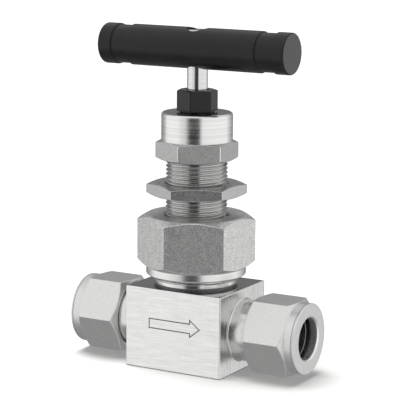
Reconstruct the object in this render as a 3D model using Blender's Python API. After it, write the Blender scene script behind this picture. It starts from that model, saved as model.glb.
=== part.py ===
"""Union-bonnet needle valve with twin-ferrule tube fittings and a bar handle.

The valve stands on its block. +Z runs up the stem, flow runs along +X, and the origin is the centre of
the block's underside. The needle is shut: the handle is at the bottom of its travel. Threads are plain
cylinders at their outside diameters, and neighbouring pieces keep a small gap.
"""

import math

import bmesh
import bpy
from mathutils import Matrix, Vector

MM = 0.001
SEGMENTS = 36
GAP = 0.3 * MM
THREAD_GAP = 0.15 * MM
RUN_OUT = 1.0 * MM
THREAD_LEAD = 0.6 * MM
JOIN_DEPTH = 2.0 * MM

# Block and the port axis that both tube fittings share
BLOCK_LENGTH = 33.34 * MM
BLOCK_WIDTH = 28.58 * MM
BLOCK_HEIGHT = 25.4 * MM
BLOCK_EDGE = 0.35 * MM
BLOCK_CORNER = 0.6 * MM
CORNER_STEPS = 3
CORNER_PROFILE = 0.5
PORT_HEIGHT = 12.7 * MM

# Tube fittings, as distances from the block's centre along the port axis
TUBE_BORE = 6.45 * MM
FITTING_THREAD = 9.5 * MM
FITTING_RELIEF = 8.8 * MM
FITTING_RELIEF_END = 18.1 * MM
FITTING_END = 30.5 * MM
TUBE_STOP = 16.6 * MM
PORT_BORE = 5.2 * MM
PORT_BORE_START = 11.0 * MM
MOUTH_RADIUS = 7.95 * MM
MOUTH_ANGLE = math.radians(12)

# Tube nut
NUT_FLATS = 22.22 * MM
NUT_TURN = math.radians(90)
NUT_INNER_FACE = 22.3 * MM
NUT_INNER_RADIUS = 10.5 * MM
NUT_SHOULDER = 36.19 * MM
NUT_COLLAR = 38.8 * MM
NUT_COLLAR_RADIUS = 10.95 * MM
NUT_FACE = 39.4 * MM
NUT_FACE_RADIUS = 10.35 * MM
NUT_CAVITY_END = 33.8 * MM
NUT_SEAT_RADIUS = 8.7 * MM

# Ferrules
FERRULE_BORE = 6.42 * MM
FRONT_NOSE = 26.6 * MM
FRONT_FLANGE = 32.2 * MM
FRONT_BACK = 33.5 * MM
FRONT_CLEARANCE = 0.42 * MM
FERRULE_FLANGE_RADIUS = 8.3 * MM
BACK_NOSE = 32.7 * MM
BACK_FLANGE = 33.8 * MM
BACK_END = 35.2 * MM

# Flow path through the block
ORIFICE_RADIUS = 3.2 * MM
PASSAGE_RADIUS = 2.88 * MM
SEAT_HEIGHT = 17.0 * MM
SEAT_MOUTH = 4.2 * MM
ORIFICE_FLOOR = 6.0 * MM
CHAMBER_RADIUS = 6.35 * MM
OUTLET_ENTRY_HEIGHT = 20.5 * MM
INLET_ENTRY_HEIGHT = 9.0 * MM

# Neck that the union nut screws onto
NECK_RADIUS = 13.2 * MM
NECK_TOP = 38.5 * MM
NECK_LEAD = 0.7 * MM
NECK_ROOT_DEPTH = 5.0 * MM
NECK_BORE = 10.0 * MM
NECK_BORE_FLOOR = 33.6 * MM

# Union nut
UNION_FLATS = 31.75 * MM
UNION_TURN = math.radians(27)
UNION_BOTTOM = 28.7 * MM
UNION_COLLAR_RADIUS = 15.5 * MM
UNION_HEX_BOTTOM = 31.35 * MM
UNION_TOP = 47.3 * MM
UNION_TOP_RADIUS = 15.3 * MM
UNION_ROOF = 43.8 * MM

# Bonnet: spigot, flange and the long threaded barrel
BARREL_RADIUS = 9.525 * MM
BARREL_TOP = 72.3 * MM
FLANGE_RADIUS = 12.7 * MM
FLANGE_BOTTOM = NECK_TOP + GAP
FLANGE_TOP = 43.5 * MM
SPIGOT_RADIUS = 9.7 * MM
SPIGOT_BOTTOM = 33.9 * MM
BONNET_CHAMBER_RADIUS = 5.8 * MM
BACKSEAT_BOTTOM = 48.6 * MM
BACKSEAT_TOP = 49.8 * MM
STEM_HOLE_RADIUS = 3.45 * MM
PACKING_FLOOR = 51.2 * MM
PACKING_BORE = 5.6 * MM

# Packing stack, from the floor of its bore upwards
PACKING_OUTER = 5.45 * MM
PACKING_INNER = 3.3 * MM
SUPPORT_THICKNESS = 1.8 * MM
RING_THICKNESS = 2.2 * MM
RING_COUNT = 3
STACK_GAP = 0.25 * MM
GLAND_HEIGHT = 5.3 * MM

# Bonnet cap: a hexagon with a round crown above it
CAP_FLATS = 22.22 * MM
CAP_TURN = math.radians(33.3)
CAP_BOTTOM = 64.4 * MM
CAP_HEX_TOP = 70.25 * MM
CAP_RADIUS = 11.0 * MM
CAP_TOP = 79.0 * MM
CAP_ROOF = 72.8 * MM
CAP_LIP = 0.8 * MM
CAP_LIP_MIDDLE = 0.24 * MM
CAP_FACE_INSET = 0.15 * MM

# Packing bolt
BOLT_FLATS = 11.11 * MM
BOLT_TURN = math.radians(40)
BOLT_HEAD_BOTTOM = CAP_TOP + GAP
BOLT_TOP = 85.9 * MM
BOLT_SHANK = 5.3 * MM
BOLT_TIP_GAP = 0.3 * MM
BOLT_BORE = 3.4 * MM
BOLT_FACE_INSET = 0.4 * MM

# Panel nut
PANEL_FLATS = 27.0 * MM
PANEL_TURN = math.radians(29.5)
PANEL_BOTTOM = 53.25 * MM
PANEL_TOP = 57.1 * MM
PANEL_FACE_RADIUS = 13.1 * MM

# Two-piece stem: the upper one turns, the lower one only rises
STEM_RADIUS = 3.175 * MM
STEM_TOP = 104.1 * MM
STEM_LEAD = 0.5 * MM
CUP_RADIUS = 5.4 * MM
CUP_BOTTOM = 38.0 * MM
CUP_TOP = 42.6 * MM
CUP_LIP_RADIUS = 2.9 * MM
CUP_CAVITY_RADIUS = 4.2 * MM
CUP_CAVITY_BOTTOM = 39.2 * MM
CUP_CAVITY_TOP = 41.7 * MM
BUTTON_RADIUS = 3.8 * MM
BUTTON_NECK = 2.5 * MM
NEEDLE_GUIDE_RADIUS = 5.4 * MM
NEEDLE_GUIDE_BOTTOM = 34.2 * MM
NEEDLE_GUIDE_TOP = CUP_BOTTOM - GAP
NEEDLE_SHAFT_RADIUS = 3.9 * MM
NEEDLE_TAPER_TOP = 20.6 * MM
NEEDLE_TIP_RADIUS = 1.5 * MM
NEEDLE_TIP = 14.6 * MM

# Handle bar
HANDLE_HEIGHT = 98.4 * MM
HANDLE_RADIUS = 6.35 * MM
HANDLE_LENGTH = 64.5 * MM
HANDLE_BAND_INNER = 22.4 * MM
HANDLE_BAND_OUTER = 27.7 * MM
HANDLE_BAND_DEPTH = 0.4 * MM
HANDLE_END_CHAMFER = 0.4 * MM
HANDLE_HOLE = STEM_RADIUS + THREAD_GAP
COUNTERSINK_RADIUS = 3.7 * MM
SET_SCREW_RADIUS = 1.9 * MM
SET_SCREW_START = 3.5 * MM
SET_SCREW_END = 5.7 * MM
SOCKET_FLATS = 2.0 * MM
SOCKET_DEPTH = 1.5 * MM

CHAMFER = math.radians(30)
OUTWARD_X = (0.0, math.radians(90), 0.0)
OUTWARD_MINUS_X = (0.0, math.radians(-90), 0.0)
OUTWARD_Y = (math.radians(-90), 0.0, 0.0)
SIDES = (("inlet", OUTWARD_MINUS_X), ("outlet", OUTWARD_X))


def clear_scene():
    """Empties the file of every object."""
    for obj in list(bpy.data.objects):
        bpy.data.objects.remove(obj, do_unlink=True)


def make_material(name, colour, metallic, roughness):
    """A plain Principled material."""
    material = bpy.data.materials.new(name)
    material.use_nodes = True
    shader = material.node_tree.nodes["Principled BSDF"]
    shader.inputs["Base Color"].default_value = (*colour, 1.0)
    shader.inputs["Metallic"].default_value = metallic
    shader.inputs["Roughness"].default_value = roughness
    material.diffuse_color = (*colour, 1.0)
    return material


def new_object(name, bm, material=None, location=(0, 0, 0), rotation=(0, 0, 0)):
    """Turns a bmesh into an object, smooth except at its edges."""
    bmesh.ops.recalc_face_normals(bm, faces=bm.faces)
    mesh = bpy.data.meshes.new(name)
    bm.to_mesh(mesh)
    bm.free()
    mesh.shade_smooth()
    mesh.set_sharp_from_angle(angle=CHAMFER)
    obj = bpy.data.objects.new(name, mesh)
    obj.location = location
    obj.rotation_euler = rotation
    bpy.context.scene.collection.objects.link(obj)
    if material:
        mesh.materials.append(material)
    return obj


def turned(profile, segments=SEGMENTS):
    """A bmesh turned about Z from a closed outline of (radius, height) points."""
    bm = bmesh.new()
    rings = []
    for radius, height in profile:
        if radius == 0:
            rings.append([bm.verts.new((0, 0, height))] * segments)
            continue
        ring = []
        for step in range(segments):
            angle = math.tau * (step + 0.5) / segments
            ring.append(bm.verts.new((radius * math.cos(angle), radius * math.sin(angle), height)))
        rings.append(ring)
    for lower, upper in zip(rings, rings[1:] + rings[:1]):
        for step in range(segments):
            after = (step + 1) % segments
            corners = (lower[step], lower[after], upper[after], upper[step])
            distinct = list(dict.fromkeys(corners))
            if len(distinct) > 2:
                bm.faces.new(distinct)
    return bm


def hexagonal(across_flats, bottom, top, turn=0.0):
    """A hexagonal prism about Z, with one corner at the angle turn."""
    bm = bmesh.new()
    corner = across_flats / math.sqrt(3)
    rings = []
    for height in (bottom, top):
        ring = []
        for step in range(6):
            angle = turn + math.tau * step / 6
            ring.append(bm.verts.new((corner * math.cos(angle), corner * math.sin(angle), height)))
        rings.append(ring)
    for step in range(6):
        after = (step + 1) % 6
        bm.faces.new((rings[0][step], rings[0][after], rings[1][after], rings[1][step]))
    bm.faces.new(rings[0])
    bm.faces.new(rings[1])
    return bm


def rod(start, end, radius):
    """A cylinder between two points."""
    start = Vector(start)
    direction = Vector(end) - start
    bm = turned([(0, 0), (radius, 0), (radius, direction.length), (0, direction.length)], SEGMENTS // 2)
    turn = direction.to_track_quat("Z", "Y").to_matrix().to_4x4()
    bmesh.ops.transform(bm, matrix=Matrix.Translation(start) @ turn, verts=bm.verts)
    return bm


def combine(obj, operation, name, bm, solver="EXACT"):
    """Adds a Boolean with a hidden tool that stands where obj stands."""
    tool = new_object(name, bm, None, obj.location, obj.rotation_euler)
    tool.hide_render = True
    tool.display_type = "WIRE"
    modifier = obj.modifiers.new(name, "BOOLEAN")
    modifier.operation = operation
    modifier.solver = solver
    modifier.object = tool


def hex_piece(name, across_flats, turn, envelope, bore, material, location=(0, 0, 0), rotation=(0, 0, 0)):
    """A hexagonal piece: a prism, trimmed to a turned envelope and opened by a turned bore."""
    heights = [height for _, height in envelope]
    prism = hexagonal(across_flats, min(heights) - RUN_OUT, max(heights) + RUN_OUT, turn)
    obj = new_object(name, prism, material, location, rotation)
    combine(obj, "INTERSECT", name + "_envelope", turned(envelope))
    combine(obj, "DIFFERENCE", name + "_bore", turned(bore))
    return obj


def corner_reach(across_flats):
    """A radius just outside the corners of a hexagon."""
    return across_flats / math.sqrt(3) + GAP


def fitting_spigot():
    """The solid male end of one tube fitting, along local +Z from inside the block."""
    profile = [
        (0, PORT_BORE_START),
        (FITTING_RELIEF, PORT_BORE_START),
        (FITTING_RELIEF, FITTING_RELIEF_END),
        (FITTING_THREAD, FITTING_RELIEF_END + THREAD_LEAD),
        (FITTING_THREAD, FITTING_END - THREAD_LEAD),
        (FITTING_THREAD - THREAD_LEAD, FITTING_END),
        (0, FITTING_END),
    ]
    return turned(profile)


def fitting_bore():
    """The space inside one tube fitting: port, tube socket and the cone that the front ferrule seats in."""
    cone_length = (MOUTH_RADIUS - TUBE_BORE) / math.tan(MOUTH_ANGLE)
    profile = [
        (0, PORT_BORE_START),
        (PORT_BORE, PORT_BORE_START),
        (PORT_BORE, TUBE_STOP),
        (TUBE_BORE, TUBE_STOP),
        (TUBE_BORE, FITTING_END - cone_length),
        (MOUTH_RADIUS + RUN_OUT * math.tan(MOUTH_ANGLE), FITTING_END + RUN_OUT),
        (0, FITTING_END + RUN_OUT),
    ]
    return turned(profile)


def lying(bm, rotation, height):
    """Lays a bmesh built along Z onto a level axis that crosses the stem's at a height."""
    place = Matrix.Translation((0, 0, height)) @ Matrix.Rotation(rotation[1], 4, "Y")
    bmesh.ops.transform(bm, matrix=place, verts=bm.verts)
    return bm


def is_upright(edge):
    """Whether an edge of the plain block runs from its bottom face to its top one."""
    return abs(edge.verts[0].co.z - edge.verts[1].co.z) > BLOCK_EDGE


def make_body(material):
    """The block with its neck, its two male fitting ends, the seat and the drilled passages.

    The crossing bores need the MANIFOLD solver: EXACT leaves open edges where they meet.
    """
    bm = bmesh.new()
    bmesh.ops.create_cube(bm, size=1)
    bmesh.ops.scale(bm, vec=(BLOCK_LENGTH, BLOCK_WIDTH, BLOCK_HEIGHT), verts=bm.verts)
    bmesh.ops.translate(bm, vec=(0, 0, BLOCK_HEIGHT / 2), verts=bm.verts)
    upright = [edge for edge in bm.edges if is_upright(edge)]
    rounding = {"offset": BLOCK_CORNER, "segments": CORNER_STEPS, "profile": CORNER_PROFILE}
    bmesh.ops.bevel(bm, geom=upright, affect="EDGES", **rounding)
    rims = [edge for edge in bm.edges if not is_upright(edge)]
    bmesh.ops.bevel(bm, geom=rims, offset=BLOCK_EDGE, segments=1, affect="EDGES")
    body = new_object("valve_body", bm, material)
    inside = BLOCK_HEIGHT - NECK_ROOT_DEPTH
    neck = [
        (0, inside),
        (NECK_RADIUS, inside),
        (NECK_RADIUS, NECK_TOP - NECK_LEAD),
        (NECK_RADIUS - NECK_LEAD, NECK_TOP),
        (0, NECK_TOP),
    ]
    combine(body, "UNION", "neck", turned(neck), "MANIFOLD")
    for side, rotation in SIDES:
        spigot = lying(fitting_spigot(), rotation, PORT_HEIGHT)
        combine(body, "UNION", side + "_spigot", spigot, "MANIFOLD")
    for side, rotation in SIDES:
        socket = lying(fitting_bore(), rotation, PORT_HEIGHT)
        combine(body, "DIFFERENCE", side + "_socket", socket, "MANIFOLD")
    chamber = [
        (0, ORIFICE_FLOOR),
        (ORIFICE_RADIUS, ORIFICE_FLOOR),
        (ORIFICE_RADIUS, SEAT_HEIGHT - (SEAT_MOUTH - ORIFICE_RADIUS)),
        (SEAT_MOUTH, SEAT_HEIGHT),
        (CHAMBER_RADIUS, SEAT_HEIGHT),
        (CHAMBER_RADIUS, NECK_BORE_FLOOR),
        (NECK_BORE, NECK_BORE_FLOOR),
        (NECK_BORE, NECK_TOP + RUN_OUT),
        (0, NECK_TOP + RUN_OUT),
    ]
    combine(body, "DIFFERENCE", "seat_and_chamber", turned(chamber), "MANIFOLD")
    start = PORT_BORE_START + PORT_BORE / 2
    inlet = rod((-start, 0, PORT_HEIGHT), (0, 0, INLET_ENTRY_HEIGHT), PASSAGE_RADIUS)
    combine(body, "DIFFERENCE", "inlet_passage", inlet, "MANIFOLD")
    outlet = rod((start, 0, PORT_HEIGHT), (CHAMBER_RADIUS / 2, 0, OUTLET_ENTRY_HEIGHT), PASSAGE_RADIUS)
    combine(body, "DIFFERENCE", "outlet_passage", outlet, "MANIFOLD")


def make_union_nut(material):
    """The large nut that holds the bonnet's flange down on the neck."""
    reach = corner_reach(UNION_FLATS)
    flat = UNION_FLATS / 2
    envelope = [
        (0, UNION_BOTTOM),
        (UNION_COLLAR_RADIUS, UNION_BOTTOM),
        (UNION_COLLAR_RADIUS, UNION_HEX_BOTTOM),
        (flat, UNION_HEX_BOTTOM),
        (reach, UNION_HEX_BOTTOM + (reach - flat) * math.tan(CHAMFER)),
        (reach, UNION_TOP - (reach - UNION_TOP_RADIUS) * math.tan(CHAMFER)),
        (UNION_TOP_RADIUS, UNION_TOP),
        (0, UNION_TOP),
    ]
    thread = NECK_RADIUS + THREAD_GAP
    hole = BARREL_RADIUS + GAP
    bore = [
        (0, UNION_BOTTOM - RUN_OUT),
        (thread, UNION_BOTTOM - RUN_OUT),
        (thread, UNION_ROOF),
        (hole, UNION_ROOF),
        (hole, UNION_TOP + RUN_OUT),
        (0, UNION_TOP + RUN_OUT),
    ]
    hex_piece("union_nut", UNION_FLATS, UNION_TURN, envelope, bore, material)


def make_bonnet(material):
    """The bonnet: a spigot in the neck, a flange under the union nut and the threaded barrel."""
    profile = [
        (BONNET_CHAMBER_RADIUS, SPIGOT_BOTTOM),
        (SPIGOT_RADIUS, SPIGOT_BOTTOM),
        (SPIGOT_RADIUS, FLANGE_BOTTOM),
        (FLANGE_RADIUS, FLANGE_BOTTOM),
        (FLANGE_RADIUS, FLANGE_TOP),
        (BARREL_RADIUS, FLANGE_TOP),
        (BARREL_RADIUS, BARREL_TOP - THREAD_LEAD),
        (BARREL_RADIUS - THREAD_LEAD, BARREL_TOP),
        (PACKING_BORE, BARREL_TOP),
        (PACKING_BORE, PACKING_FLOOR),
        (STEM_HOLE_RADIUS, PACKING_FLOOR),
        (STEM_HOLE_RADIUS, BACKSEAT_TOP),
        (BONNET_CHAMBER_RADIUS, BACKSEAT_BOTTOM),
    ]
    new_object("bonnet", turned(profile), material)


def make_cap(material):
    """The cap on the barrel: a hexagon for the spanner and a round crown that the packing bolt enters."""
    reach = corner_reach(CAP_FLATS)
    face = CAP_FLATS / 2 - CAP_FACE_INSET
    rise = (reach - face) * math.tan(CHAMFER)
    envelope = [
        (0, CAP_BOTTOM),
        (face, CAP_BOTTOM),
        (reach, CAP_BOTTOM + rise),
        (reach, CAP_HEX_TOP - rise),
        (face, CAP_HEX_TOP),
        (0, CAP_HEX_TOP),
    ]
    prism = hexagonal(CAP_FLATS, CAP_BOTTOM - RUN_OUT, CAP_HEX_TOP + RUN_OUT, CAP_TURN)
    cap = new_object("bonnet_cap", prism, material)
    combine(cap, "INTERSECT", "cap_envelope", turned(envelope))
    inside = CAP_HEX_TOP - JOIN_DEPTH
    crown = [
        (0, inside),
        (CAP_RADIUS, inside),
        (CAP_RADIUS, CAP_TOP - CAP_LIP),
        (CAP_RADIUS - CAP_LIP_MIDDLE, CAP_TOP - CAP_LIP_MIDDLE),
        (CAP_RADIUS - CAP_LIP, CAP_TOP),
        (0, CAP_TOP),
    ]
    combine(cap, "UNION", "cap_crown", turned(crown))
    thread = BARREL_RADIUS + THREAD_GAP
    hole = BOLT_SHANK + THREAD_GAP
    bore = [
        (0, CAP_BOTTOM - RUN_OUT),
        (thread, CAP_BOTTOM - RUN_OUT),
        (thread, CAP_ROOF),
        (hole, CAP_ROOF),
        (hole, CAP_TOP + RUN_OUT),
        (0, CAP_TOP + RUN_OUT),
    ]
    combine(cap, "DIFFERENCE", "cap_bore", turned(bore))


def make_packing(support_material, ring_material, gland_material):
    """The packing stack: a support, the rings, a second support and the gland. Returns the gland's top."""
    stack = [("lower_packing_support", SUPPORT_THICKNESS, support_material)]
    for number in range(1, RING_COUNT + 1):
        stack.append(("packing_ring_" + str(number), RING_THICKNESS, ring_material))
    stack.append(("upper_packing_support", SUPPORT_THICKNESS, support_material))
    stack.append(("packing_gland", GLAND_HEIGHT, gland_material))
    top = PACKING_FLOOR
    for name, thickness, material in stack:
        bottom = top + STACK_GAP
        top = bottom + thickness
        corners = [
            (PACKING_INNER, bottom),
            (PACKING_OUTER, bottom),
            (PACKING_OUTER, top),
            (PACKING_INNER, top),
        ]
        new_object(name, turned(corners), material)
    return top


def make_packing_bolt(tip, material):
    """The hexagonal bolt in the cap, bored and threaded for the stem, that presses the gland down."""
    reach = corner_reach(BOLT_FLATS)
    face = BOLT_FLATS / 2 - BOLT_FACE_INSET
    envelope = [
        (0, BOLT_HEAD_BOTTOM),
        (reach, BOLT_HEAD_BOTTOM),
        (reach, BOLT_TOP - (reach - face) * math.tan(CHAMFER)),
        (face, BOLT_TOP),
        (0, BOLT_TOP),
    ]
    prism = hexagonal(BOLT_FLATS, BOLT_HEAD_BOTTOM - RUN_OUT, BOLT_TOP + RUN_OUT, BOLT_TURN)
    bolt = new_object("packing_bolt", prism, material)
    combine(bolt, "INTERSECT", "bolt_envelope", turned(envelope))
    inside = BOLT_HEAD_BOTTOM + JOIN_DEPTH
    shank = [(0, tip), (BOLT_SHANK, tip), (BOLT_SHANK, inside), (0, inside)]
    combine(bolt, "UNION", "bolt_shank", turned(shank))
    low = tip - RUN_OUT
    high = BOLT_TOP + RUN_OUT
    bore = [(0, low), (BOLT_BORE, low), (BOLT_BORE, high), (0, high)]
    combine(bolt, "DIFFERENCE", "bolt_bore", turned(bore))


def make_panel_nut(material):
    """The thin nut on the barrel that clamps the valve in a panel."""
    reach = corner_reach(PANEL_FLATS)
    rise = (reach - PANEL_FACE_RADIUS) * math.tan(CHAMFER) / 2
    envelope = [
        (0, PANEL_BOTTOM),
        (PANEL_FACE_RADIUS, PANEL_BOTTOM),
        (reach, PANEL_BOTTOM + rise),
        (reach, PANEL_TOP - rise),
        (PANEL_FACE_RADIUS, PANEL_TOP),
        (0, PANEL_TOP),
    ]
    thread = BARREL_RADIUS + THREAD_GAP
    bore = [
        (0, PANEL_BOTTOM - RUN_OUT),
        (thread, PANEL_BOTTOM - RUN_OUT),
        (thread, PANEL_TOP + RUN_OUT),
        (0, PANEL_TOP + RUN_OUT),
    ]
    hex_piece("panel_nut", PANEL_FLATS, PANEL_TURN, envelope, bore, material)


def make_upper_stem(material):
    """The turning stem, with a crimped cup at its foot that holds the lower stem's button."""
    profile = [
        (CUP_LIP_RADIUS, CUP_BOTTOM),
        (CUP_RADIUS, CUP_BOTTOM),
        (CUP_RADIUS, CUP_TOP),
        (STEM_RADIUS, CUP_TOP + (CUP_RADIUS - STEM_RADIUS) * math.tan(CHAMFER)),
        (STEM_RADIUS, STEM_TOP - STEM_LEAD),
        (STEM_RADIUS - STEM_LEAD, STEM_TOP),
        (0, STEM_TOP),
        (0, CUP_CAVITY_TOP),
        (CUP_CAVITY_RADIUS, CUP_CAVITY_TOP),
        (CUP_CAVITY_RADIUS, CUP_CAVITY_BOTTOM),
        (CUP_LIP_RADIUS, CUP_CAVITY_BOTTOM),
    ]
    new_object("upper_stem", turned(profile), material)


def make_lower_stem(material):
    """The needle: a regulating taper, a shaft, a guide that slides in the bonnet, and the button."""
    profile = [
        (0, NEEDLE_TIP),
        (NEEDLE_TIP_RADIUS, NEEDLE_TIP),
        (NEEDLE_SHAFT_RADIUS, NEEDLE_TAPER_TOP),
        (NEEDLE_SHAFT_RADIUS, NEEDLE_GUIDE_BOTTOM - GAP),
        (NEEDLE_GUIDE_RADIUS, NEEDLE_GUIDE_BOTTOM + GAP),
        (NEEDLE_GUIDE_RADIUS, NEEDLE_GUIDE_TOP),
        (BUTTON_NECK, NEEDLE_GUIDE_TOP),
        (BUTTON_NECK, CUP_CAVITY_BOTTOM + GAP),
        (BUTTON_RADIUS, CUP_CAVITY_BOTTOM + GAP),
        (BUTTON_RADIUS, CUP_CAVITY_TOP - GAP),
        (0, CUP_CAVITY_TOP - GAP),
    ]
    new_object("lower_stem", turned(profile), material)


def make_handle(material):
    """The bar handle, drilled and countersunk for the stem, with a shallow band near each end."""
    half = HANDLE_LENGTH / 2
    band = HANDLE_RADIUS - HANDLE_BAND_DEPTH
    half_profile = [
        (band, HANDLE_BAND_INNER),
        (band, HANDLE_BAND_OUTER),
        (HANDLE_RADIUS, HANDLE_BAND_OUTER),
        (HANDLE_RADIUS, half - HANDLE_END_CHAMFER),
        (HANDLE_RADIUS - HANDLE_END_CHAMFER, half),
        (0, half),
    ]
    upper = [(HANDLE_RADIUS, HANDLE_BAND_INNER)] + half_profile
    lower = [(radius, -height) for radius, height in reversed(upper)]
    bar = new_object("handle_bar", lying(turned(lower + upper), OUTWARD_X, HANDLE_HEIGHT), material)
    top = HANDLE_HEIGHT + HANDLE_RADIUS
    hole = [
        (0, HANDLE_HEIGHT - HANDLE_RADIUS - RUN_OUT),
        (HANDLE_HOLE, HANDLE_HEIGHT - HANDLE_RADIUS - RUN_OUT),
        (HANDLE_HOLE, top - (COUNTERSINK_RADIUS - HANDLE_HOLE)),
        (COUNTERSINK_RADIUS + RUN_OUT, top + RUN_OUT),
        (0, top + RUN_OUT),
    ]
    combine(bar, "DIFFERENCE", "stem_hole", turned(hole))
    outside = (0, HANDLE_RADIUS + RUN_OUT, HANDLE_HEIGHT)
    screw_hole = rod((0, 0, HANDLE_HEIGHT), outside, SET_SCREW_RADIUS + THREAD_GAP)
    combine(bar, "DIFFERENCE", "set_screw_hole", screw_hole)


def make_set_screw(material):
    """The socket set screw in the back of the bar, which bears on the stem."""
    profile = [
        (0, SET_SCREW_START),
        (SET_SCREW_RADIUS, SET_SCREW_START),
        (SET_SCREW_RADIUS, SET_SCREW_END),
        (0, SET_SCREW_END),
    ]
    location = (0, 0, HANDLE_HEIGHT)
    screw = new_object("handle_set_screw", turned(profile, SEGMENTS // 2), material, location, OUTWARD_Y)
    socket = hexagonal(SOCKET_FLATS, SET_SCREW_END - SOCKET_DEPTH, SET_SCREW_END + RUN_OUT)
    combine(screw, "DIFFERENCE", "set_screw_socket", socket)


def make_tube_nut(side, rotation, material):
    """One tube nut: a hexagon chamfered down to a round collar, and the back ferrule's seat inside."""
    reach = corner_reach(NUT_FLATS)
    envelope = [
        (0, NUT_INNER_FACE),
        (NUT_INNER_RADIUS, NUT_INNER_FACE),
        (reach, NUT_INNER_FACE + (reach - NUT_INNER_RADIUS) * math.tan(CHAMFER)),
        (reach, NUT_SHOULDER - (reach - NUT_COLLAR_RADIUS) * math.tan(CHAMFER)),
        (NUT_COLLAR_RADIUS, NUT_SHOULDER),
        (NUT_COLLAR_RADIUS, NUT_COLLAR),
        (NUT_FACE_RADIUS, NUT_FACE),
        (0, NUT_FACE),
    ]
    thread = FITTING_THREAD + THREAD_GAP
    bore = [
        (0, NUT_INNER_FACE - RUN_OUT),
        (thread, NUT_INNER_FACE - RUN_OUT),
        (thread, NUT_CAVITY_END),
        (NUT_SEAT_RADIUS, NUT_CAVITY_END + (thread - NUT_SEAT_RADIUS)),
        (NUT_SEAT_RADIUS, BACK_END + GAP),
        (TUBE_BORE, BACK_END + GAP + (NUT_SEAT_RADIUS - TUBE_BORE) * math.tan(CHAMFER)),
        (TUBE_BORE, NUT_FACE + RUN_OUT),
        (0, NUT_FACE + RUN_OUT),
    ]
    location = (0, 0, PORT_HEIGHT)
    hex_piece(side + "_nut", NUT_FLATS, NUT_TURN, envelope, bore, material, location, rotation)


def make_ferrules(side, rotation, material):
    """The front ferrule, whose nose enters the body's cone, and the back ferrule behind it."""
    location = (0, 0, PORT_HEIGHT)
    slope = math.tan(MOUTH_ANGLE)
    mouth = MOUTH_RADIUS - FRONT_CLEARANCE
    neck = mouth + (FRONT_FLANGE - FITTING_END) * slope
    front = [
        (FERRULE_BORE, FRONT_NOSE),
        (mouth - (FITTING_END - FRONT_NOSE) * slope, FRONT_NOSE),
        (neck, FRONT_FLANGE),
        (FERRULE_FLANGE_RADIUS, FRONT_FLANGE),
        (FERRULE_FLANGE_RADIUS, FRONT_BACK),
        (FERRULE_FLANGE_RADIUS - GAP, FRONT_BACK),
        (FERRULE_BORE, BACK_NOSE - GAP),
    ]
    new_object(side + "_front_ferrule", turned(front), material, location, rotation)
    flange = FERRULE_FLANGE_RADIUS
    nose = FERRULE_BORE + GAP
    back = [
        (FERRULE_BORE, BACK_NOSE),
        (nose, BACK_NOSE),
        (flange - GAP, BACK_FLANGE),
        (flange, BACK_FLANGE),
        (flange, BACK_END),
        (FERRULE_BORE, BACK_END),
    ]
    new_object(side + "_back_ferrule", turned(back), material, location, rotation)


def main():
    clear_scene()
    brushed = make_material("brushed_steel", (0.62, 0.62, 0.61), 1.0, 0.32)
    satin = make_material("satin_steel", (0.50, 0.50, 0.49), 1.0, 0.42)
    polished = make_material("polished_steel", (0.70, 0.70, 0.70), 1.0, 0.18)
    plated = make_material("ferrule_steel", (0.66, 0.66, 0.65), 1.0, 0.22)
    black_bolt = make_material("black_coated_steel", (0.03, 0.03, 0.03), 0.4, 0.38)
    black_bar = make_material("black_anodised", (0.025, 0.025, 0.025), 0.3, 0.45)
    packing = make_material("packing", (0.82, 0.82, 0.80), 0.0, 0.5)
    screw_steel = make_material("black_screw_steel", (0.05, 0.05, 0.05), 0.6, 0.4)
    make_body(brushed)
    make_union_nut(satin)
    make_bonnet(satin)
    make_cap(polished)
    gland_top = make_packing(polished, packing, polished)
    make_packing_bolt(gland_top + BOLT_TIP_GAP, black_bolt)
    make_panel_nut(satin)
    make_upper_stem(polished)
    make_lower_stem(polished)
    make_handle(black_bar)
    make_set_screw(screw_steel)
    for side, rotation in SIDES:
        make_tube_nut(side, rotation, satin)
        make_ferrules(side, rotation, plated)


main()
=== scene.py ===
"""Visual model of the needle valve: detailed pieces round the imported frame, with a studio and a camera.

Every piece stands for the CAD node of the same name and rides on that node's body. Pieces are lofted from
rows of points round an axis, local +Z, so that hexagons, chamfers and threads are true geometry.
"""

import math

import bmesh
import bpy
import numpy as np
from mathutils import Matrix, Vector


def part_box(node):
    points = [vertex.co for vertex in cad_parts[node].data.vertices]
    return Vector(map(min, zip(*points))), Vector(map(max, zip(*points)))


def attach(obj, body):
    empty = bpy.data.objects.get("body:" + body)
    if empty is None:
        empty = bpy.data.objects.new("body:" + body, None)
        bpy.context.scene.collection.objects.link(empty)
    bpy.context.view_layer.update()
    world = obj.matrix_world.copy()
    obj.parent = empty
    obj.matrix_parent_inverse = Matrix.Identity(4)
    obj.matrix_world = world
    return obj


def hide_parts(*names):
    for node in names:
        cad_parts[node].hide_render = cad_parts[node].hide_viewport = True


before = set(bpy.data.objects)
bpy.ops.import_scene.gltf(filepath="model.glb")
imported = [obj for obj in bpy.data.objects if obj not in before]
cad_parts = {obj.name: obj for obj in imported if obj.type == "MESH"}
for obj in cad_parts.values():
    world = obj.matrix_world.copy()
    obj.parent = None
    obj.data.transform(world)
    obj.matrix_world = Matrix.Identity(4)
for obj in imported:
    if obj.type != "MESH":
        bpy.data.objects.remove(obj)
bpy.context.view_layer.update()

MM = 0.001
GAP = 0.3 * MM
COLUMNS = 96
FINE_COLUMNS = 144
FITTING_COLUMNS = 120
HOLE_COLUMNS = 48
SHARP = math.radians(38)
CHAMFER = math.tan(math.radians(30))
MERGE = 1e-7
SOFT_STEPS = 4
SIXTH = math.tau / 6
LEG_SHARE = 0.48
RIB_RADIUS = 0.3 * MM

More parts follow.
